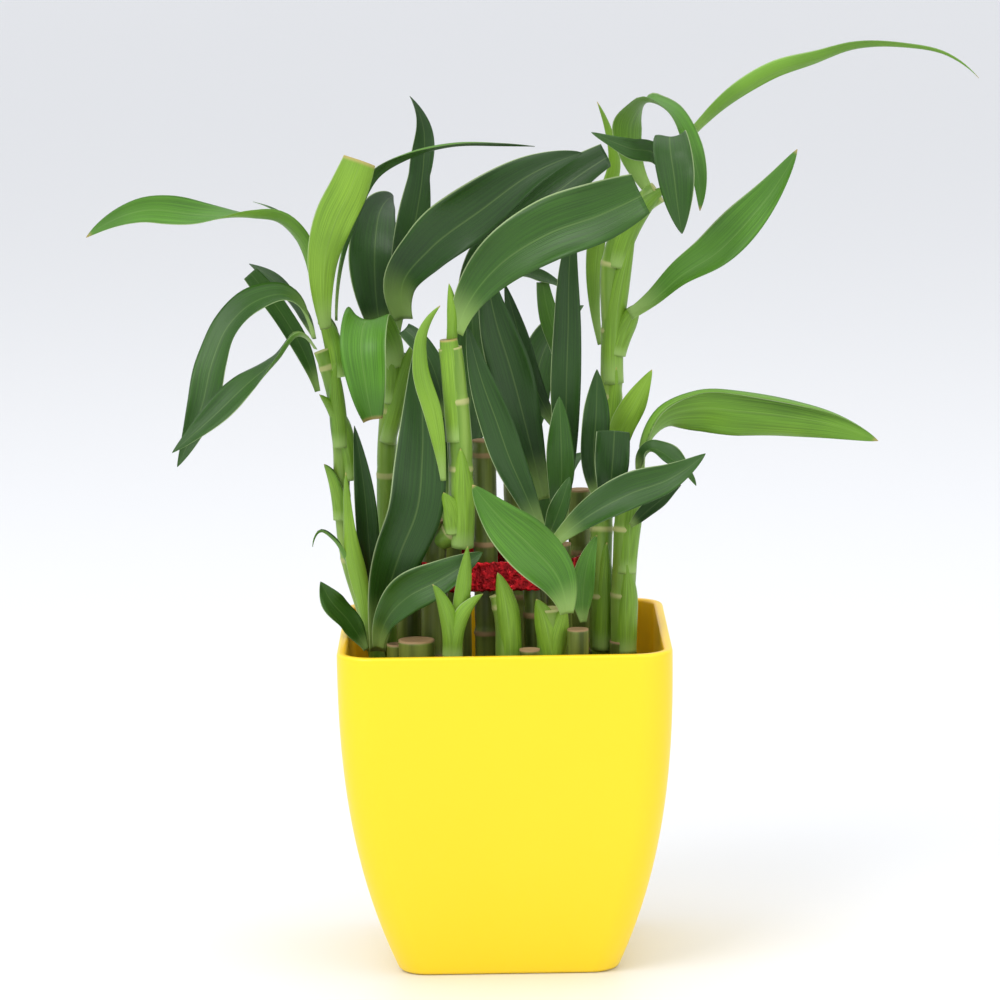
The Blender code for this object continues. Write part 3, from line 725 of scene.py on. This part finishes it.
@dataclass
class Blade:
    """One leaf or sheath as a closed thin shell round its midrib."""

    leaf: Leaf
    rows: int = 56
    half_ring: int = 13
    thickness: float = 0.45
    wave: float = 0.22

    def grid(self) -> np.ndarray:
        """The shell's rings.

        The midrib carries a direction that the upper side faces, turned about it by the facing
        angles. Each ring is a shallow arc across, out on the upper side and back on the under
        side, and its width follows the outline: a neck, a full middle and a pointed tip.

        Returns:
            Rows of rings of points.
        """
        leaf = self.leaf
        line = smooth_line(leaf.midrib, self.rows)
        forward = np.gradient(line, axis=0)
        forward /= np.linalg.norm(forward, axis=1)[:, None]
        reference = np.array((0.0, -1.0, 0.0) if leaf.reference == "front" else (1.0, 0.0, 0.0))
        zero = reference - (forward @ reference)[:, None] * forward
        zero /= np.linalg.norm(zero, axis=1)[:, None]
        t = np.linspace(0, 1, self.rows)
        turn = np.radians(np.interp(t, np.linspace(0, 1, len(leaf.facing)), leaf.facing))
        up = np.cos(turn)[:, None] * zero + np.sin(turn)[:, None] * np.cross(forward, zero)
        side = np.cross(forward, up)
        cut = t * leaf.cut
        rise = np.sin(np.pi / 2 * np.clip(cut / leaf.widest, 0, 1)) ** 1.3
        fall = np.cos(np.pi / 2 * np.clip((cut - leaf.widest) / (1 - leaf.widest), 0, 1)) ** 0.75
        shape = np.where(cut < leaf.widest, leaf.neck + (1 - leaf.neck) * rise, fall)
        width = np.maximum(shape * leaf.half_width, 0.12)
        u = np.linspace(-1, 1, self.half_ring)
        sideways, lift = self.section(u)
        seed = float(sum(map(ord, leaf.name)) % 17)
        ripple = self.wave * width[:, None] * u[None] ** 4 * np.sin(
            t[:, None] * (9 + seed % 4) + seed + 1.5 * np.sign(u)[None])
        middle = line[:, None] + width[:, None, None] * (
            sideways[None, :, None] * side[:, None] + lift[None, :, None] * up[:, None])
        middle = middle + ripple[:, :, None] * up[:, None]
        thick = self.thickness * (0.25 + 0.75 * np.sqrt(np.clip(1 - u**2, 0, 1)))
        thick = thick[None] * np.clip(width / 1.5, 0.3, 1)[:, None]
        half = (thick / 2)[:, :, None] * up[:, None]
        return np.concatenate([middle + half, (middle - half)[:, ::-1]], 1)

    def section(self, u: np.ndarray) -> tuple[np.ndarray, np.ndarray]:
        """The arc across the blade, worked out by adding up its turning.

        Args:
            u: places across, -1 to 1.

        Returns:
            The sideways and upward place of each, as a share of half the width.
        """
        fine = np.linspace(-1, 1, SECTION_SAMPLES)
        angle = self.leaf.cup * fine + MIDRIB_CREASE * np.tanh(fine * 10)
        if self.leaf.roll:
            start, bend = self.leaf.roll
            angle = angle + math.radians(bend) * np.clip((fine - start) / 0.25, 0, 1)
        step = fine[1] - fine[0]
        place = np.stack([np.cos(angle), np.sin(angle)])
        track = np.cumsum((place[:, 1:] + place[:, :-1]) / 2 * step, axis=1)
        track = np.concatenate([np.zeros((2, 1)), track], 1)
        middle = SECTION_SAMPLES // 2
        track -= track[:, middle:middle + 1]
        return np.interp(u, fine, track[0]), np.interp(u, fine, track[1])

    def build(self, material: bpy.types.Material) -> bpy.types.Object:
        """Make the piece."""
        return skin(self.leaf.name + "_blade", self.grid(), material)


@dataclass
class Stem:
    """A round cane or shoot along a path, with node rings and a hollowed cut end."""

    name: str
    path: tuple
    radius: float
    spacing: float
    bulge: float
    start_ring: float
    sides: int = 28
    worn: np.ndarray = field(init=False, repr=False)

    def grid(self) -> np.ndarray:
        """The stem's rings: circles square to the path, swollen a little at each node.

        Returns:
            Rows of rings of points.
        """
        reach = np.linalg.norm(np.diff(np.array(self.path, float), axis=0), axis=1).sum()
        rows = max(12, int(reach / 1.1))
        line = smooth_line(self.path, rows)
        forward = np.gradient(line, axis=0)
        forward /= np.linalg.norm(forward, axis=1)[:, None]
        right = np.cross(forward, (0.0, -1.0, 0.0))
        right /= np.linalg.norm(right, axis=1)[:, None]
        front = np.cross(right, forward)
        along = np.linspace(0, reach, rows)
        phase = (along - self.start_ring + self.spacing / 2) % self.spacing - self.spacing / 2
        node = np.exp(-(phase / 1.0) ** 2)
        taper = np.exp(-((phase - 2.4) / 1.6) ** 2)
        radius = self.radius * (1 + self.bulge * node - 0.4 * self.bulge * taper)
        self.worn = node.copy()
        line = np.concatenate([line, line[-1:], line[-1:] - forward[-1:] * 0.6])
        radius = np.r_[radius, radius[-1] * 0.86, radius[-1] * 0.55]
        self.worn = np.r_[self.worn, 1.0, 1.0]
        self.worn[rows - 1] = 1.0
        right, front = (np.concatenate([x, x[-1:], x[-1:]]) for x in (right, front))
        angle = np.linspace(0, math.tau, self.sides, endpoint=False)
        circle = (np.cos(angle)[None, :, None] * right[:, None]
                  + np.sin(angle)[None, :, None] * front[:, None])
        rough = 1 + 0.015 * value_noise(circle * 2 + line[:, None] * 0.15, self.start_ring)
        return line[:, None] + circle * (radius[:, None] * rough)[:, :, None]

    def build(self, material: bpy.types.Material) -> bpy.types.Object:
        """Make the piece. The grid is worked out first, because it fills in the worn rows."""
        grid = self.grid()
        return skin(self.name, grid, material, self.worn)


@dataclass
class Pot:
    """The square pot: a thin shell with round corners and a rounded rim.

    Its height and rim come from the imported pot. The taper is the base's width over the rim's.
    """

    height: float
    rim_half: float
    taper: float = 0.6614
    belly: float = 2.45
    wall: float = 3.2
    floor: float = 4.0
    rim_corner: float = 13.0
    base_corner: float = 10.0
    rim_round: float = 1.1
    foot_round: float = 1.6

    def half(self, z: np.ndarray) -> np.ndarray:
        """Half the outer width at height z."""
        swell = 1 - (1 - z / self.height) ** self.belly
        return self.rim_half * (self.taper + (1 - self.taper) * swell)

    def rings(self, z: np.ndarray, inset: np.ndarray) -> np.ndarray:
        """Rounded squares: straight sides and quarter circles, at each height.

        Args:
            z: height of each ring.
            inset: how far each ring lies in from the outer face.

        Returns:
            Rows of rings of points.
        """
        corner = self.base_corner + (self.rim_corner - self.base_corner) * z / self.height - inset
        corner = np.maximum(corner, 0.5)
        half = self.half(z) - inset
        angle = np.concatenate([np.linspace(0, math.pi / 2, POT_CORNER_POINTS) + q * math.pi / 2
                                for q in range(4)])
        quarter = np.repeat(np.arange(4), POT_CORNER_POINTS) * math.pi / 2 + math.pi / 4
        middle = (half - corner)[:, None] * math.sqrt(2)
        x = middle * np.cos(quarter) + corner[:, None] * np.cos(angle)
        y = middle * np.sin(quarter) + corner[:, None] * np.sin(angle)
        return np.stack([x, y, np.repeat(z[:, None], len(angle), 1)], -1)

    def build(self, material: bpy.types.Material) -> bpy.types.Object:
        """Make the shell: up the outside, over the rim and down the inner wall."""
        turn = np.linspace(0, math.pi / 2, ROUND_POINTS)
        rim, foot = self.rim_round, self.foot_round
        out_z = np.r_[foot - foot * np.cos(turn), np.linspace(foot, self.height - rim, WALL_RINGS)[1:]]
        out_inset = np.r_[foot - foot * np.sin(turn), np.zeros(WALL_RINGS - 1)]
        over_z = np.r_[self.height - rim + rim * np.sin(turn[1:]),
                       (self.height - rim + rim * np.sin(turn))[::-1]]
        over_inset = np.r_[rim - rim * np.cos(turn[1:]),
                           (self.wall - rim + rim * np.cos(turn))[::-1]]
        in_z = np.linspace(self.height - rim, self.floor, WALL_RINGS)[1:]
        z = np.r_[out_z, over_z, in_z]
        inset = np.r_[out_inset, over_inset, np.full(WALL_RINGS - 1, self.wall)]
        grid = self.rings(np.clip(z, 0, None), inset)
        return skin("pot_shell", grid, material)

    def build_soil(self, top: float, material: bpy.types.Material) -> bpy.types.Object:
        """Make the soil: a skirt up the wall, then a crumbly top that closes on its middle.

        Args:
            top: height of the soil's surface.
            material: its finish.

        Returns:
            The piece.
        """
        z = np.linspace(self.floor + 0.5, top, SOIL_SKIRT_RINGS)
        skirt = self.rings(z, np.full(SOIL_SKIRT_RINGS, self.wall + 0.3))
        share = np.linspace(1, 0.01, 60)[1:, None, None]
        surface = skirt[-1][None] * np.array([1, 1, 0]) * share + np.array([0, 0, top])
        crumb = sum(value_noise(surface * scale, seed) * height for scale, seed, height in
                    ((0.25, 1.0, 0.7), (0.8, 2.0, 0.6), (1.9, 3.0, 0.45)))
        surface[..., 2] += crumb
        return skin("soil_crumbs", np.concatenate([skirt, surface]), material)


@dataclass
class Ribbon:
    """Crinkled foil pulled tight round the tall canes."""

    low: float
    high: float
    clear: float = 0.5
    thick: float = 0.5
    stand_off: float = 0.6

    def build(self, material: bpy.types.Material) -> bpy.types.Object:
        """Make the band: the loop round the canes, swept up, with its folds pushed in and out."""
        angle = np.linspace(0, math.tau, 16, endpoint=False)
        around = np.concatenate([
            np.stack([cane.x + (cane.radius + self.clear) * np.cos(angle),
                      cane.y + (cane.radius + self.clear) * np.sin(angle)], -1)
            for cane in TALL_CANES])
        hull = around[convex_hull_2d([tuple(p) for p in around])]
        closed = np.concatenate([hull, hull[:1]])
        s = np.r_[0, np.cumsum(np.linalg.norm(np.diff(closed, axis=0), axis=1))]
        at = np.linspace(0, s[-1], RIBBON_POINTS, endpoint=False)
        loop = np.stack([np.interp(at, s, closed[:, k]) for k in range(2)], -1)
        centre = loop.mean(0)
        outward = (loop - centre) / np.linalg.norm(loop - centre, axis=1)[:, None]
        up = np.linspace(self.low, self.high, RIBBON_LEVELS)
        profile = np.concatenate([up, up[::-1]])
        inner = np.full(RIBBON_LEVELS, self.stand_off)
        offset = np.r_[inner + self.thick, inner]
        flat = np.concatenate([loop, np.zeros((RIBBON_POINTS, 1))], 1)
        place = flat[:, None] + np.stack([profile * 0, profile * 0, profile], -1)[None]
        crease = 0.45 * value_noise(place * 0.9, 4.0) + 0.3 * value_noise(place * 2.1, 5.0)
        push = offset[None] + crease
        place[..., :2] += outward[:, None] * push[..., None]
        place[..., 2] += 0.5 * value_noise(flat[:, None] * 0.7 + 0 * place, 6.0)
        grid = np.concatenate([place, place[:1]])
        band = skin("ribbon_foil", grid, material)
        self.join_ends(band)
        return band

    @staticmethod
    def join_ends(band: bpy.types.Object) -> None:
        """Drop the two flat caps and weld the loop's first ring to its last."""
        mesh = bmesh.new()
        mesh.from_mesh(band.data)
        bmesh.ops.delete(mesh, geom=[f for f in mesh.faces if len(f.verts) > 4], context="FACES")
        bmesh.ops.remove_doubles(mesh, verts=mesh.verts, dist=0.00001)
        mesh.to_mesh(band.data)
        mesh.free()


# --- Plant ------------------------------------------------------------------------------------------

@dataclass
class Plant:
    """All the canes, shoots, sheaths and leaves."""

    nodes: dict
    foot: float = 62.0
    made: int = 0

    def show(self, piece: bpy.types.Object, slot: str, *nodes: str) -> None:
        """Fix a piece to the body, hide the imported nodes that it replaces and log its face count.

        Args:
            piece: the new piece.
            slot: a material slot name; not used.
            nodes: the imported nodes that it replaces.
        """
        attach(piece, "root")
        if nodes:
            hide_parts(*nodes)
        self.made += 1
        LOG.info("%s: %d faces", piece.name, len(piece.data.polygons))

    def build_canes(self) -> None:
        """Make each cane, and the shoot that grows from it."""
        cane_skin = StemFinish("cane_skin", (0.060, 0.085, 0.012, 1), (0.17, 0.22, 0.035, 1),
                               (0.30, 0.19, 0.085, 1), 0.42).make()
        shoot_skin = StemFinish("shoot_skin", (0.12, 0.24, 0.020, 1), (0.23, 0.37, 0.055, 1),
                                (0.42, 0.44, 0.16, 1), 0.38).make()
        for number, cane in enumerate(TALL_CANES + RING_CANES):
            path = ((cane.x, cane.y, self.foot), (cane.x, cane.y, cane.top))
            stem = Stem(cane.name + "_culm", path, cane.radius, CANE_NODE_SPACING, 0.10,
                        9.0 + 7 * (number % 4))
            self.show(stem.build(cane_skin), "cane", cane.name)
            if cane.shoot:
                shoot = Stem(cane.name + "_sprout", cane.shoot, cane.shoot_radius,
                             SHOOT_NODE_SPACING, 0.07, 5.0 + 3 * (number % 3))
                self.show(shoot.build(shoot_skin), "leaf")

    def build_leaves(self) -> None:
        """Make each blade and sheath."""
        finishes = {tone: LeafFinish(tone).make() for tone in Tone}
        for leaf in LEAVES + SMALL_LEAVES:
            tone = TONES.get(leaf.name, Tone.MID)
            piece = Blade(leaf).build(finishes[tone])
            self.show(piece, "leaf", *([leaf.name] if leaf.name in self.nodes else []))
        for sheath in SHEATHS:
            leaf = Leaf(sheath.name, sheath.midrib, sheath.radius * sheath.wrap, sheath.facing,
                        cup=sheath.wrap, neck=0.95, widest=0.5, cut=sheath.cut)
            piece = Blade(leaf, rows=28, half_ring=15, wave=0.05).build(finishes[Tone.LIME])
            self.show(piece, "leaf")


@dataclass
class Studio:
    """The floor, the lights and the camera."""

    target: tuple = (-0.0008, 0.0, 0.1596)
    distance: float = 1.528
    pitch: float = 8.55
    roll: float = -0.86
    lens: float = 158.3

    def build(self) -> None:
        """Make them all."""
        self.build_floor()
        self.build_camera()
        self.build_light("key", (-0.9, -1.1, 1.5), 1.0, 17.0)
        self.build_light("fill", (1.2, -1.0, 0.9), 1.4, 5.5)
        self.build_light("top", (0.1, 0.3, 1.9), 1.6, 8.5)
        world = bpy.data.worlds.new("studio")
        world.use_nodes = True
        world.node_tree.nodes["Background"].inputs["Color"].default_value = (0.94, 0.96, 1.0, 1)
        world.node_tree.nodes["Background"].inputs["Strength"].default_value = 0.95
        bpy.context.scene.world = world
        bpy.context.scene.view_settings.view_transform = "Standard"

    def build_floor(self) -> None:
        """A wide pale floor."""
        bpy.ops.mesh.primitive_plane_add(size=60.0, location=(0, 20.0, 0))
        floor = bpy.context.object
        floor.name = "studio_floor"
        tree = Tree("studio_floor", roughness=0.45)
        floor.data.materials.append(tree.paint(base_color=(0.82, 0.82, 0.825, 1)))

    def build_camera(self) -> None:
        """Look down at the plant from the front, tilted by the small roll."""
        pitch, roll = math.radians(self.pitch), math.radians(self.roll)
        back = Vector((0, -math.cos(pitch), math.sin(pitch)))
        right = Vector((1, 0, 0))
        up = back.cross(right)
        turned = right * math.cos(roll) + up * math.sin(roll)
        above = -right * math.sin(roll) + up * math.cos(roll)
        data = bpy.data.cameras.new("camera")
        data.lens = self.lens
        data.sensor_width = 36.0
        camera = bpy.data.objects.new("camera", data)
        place = Vector(self.target) + back * self.distance
        camera.matrix_world = Matrix.Translation(place) @ Matrix(
            (turned, above, back)).transposed().to_4x4()
        bpy.context.scene.collection.objects.link(camera)
        bpy.context.scene.camera = camera

    @staticmethod
    def build_light(name: str, place: tuple, size: float, power: float) -> None:
        """Add a soft square light aimed at the plant's middle.

        Args:
            name: the light's name.
            place: where it hangs.
            size: its side.
            power: its strength in watts.
        """
        data = bpy.data.lights.new(name, "AREA")
        data.size = size
        data.energy = power
        lamp = bpy.data.objects.new(name, data)
        lamp.location = place
        aim = Vector((0, 0, 0.16)) - Vector(place)
        lamp.rotation_euler = aim.to_track_quat("-Z", "Y").to_euler()
        bpy.context.scene.collection.objects.link(lamp)


def main() -> None:
    """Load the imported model, dress it and build the studio."""
    logging.basicConfig(level=logging.INFO, format="%(message)s")
    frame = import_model()
    plant = Plant(frame["nodes"])
    pot_box, soil_box, ribbon_box = (np.array(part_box(node)) / MM
                                     for node in ("pot", "soil", "ribbon"))
    pot = Pot(height=pot_box[1, 2], rim_half=pot_box[1, 0])
    plant.show(pot.build(PotFinish().make()), "pot", "pot")
    plant.show(pot.build_soil(soil_box[1, 2], SoilFinish().make()), "soil", "soil")
    ribbon = Ribbon(ribbon_box[0, 2], ribbon_box[1, 2])
    plant.show(ribbon.build(FoilFinish().make()), "ribbon", "ribbon")
    plant.build_canes()
    plant.build_leaves()
    Studio().build()
    LOG.info("%d pieces", plant.made)


if __name__ == "__main__":
    main()
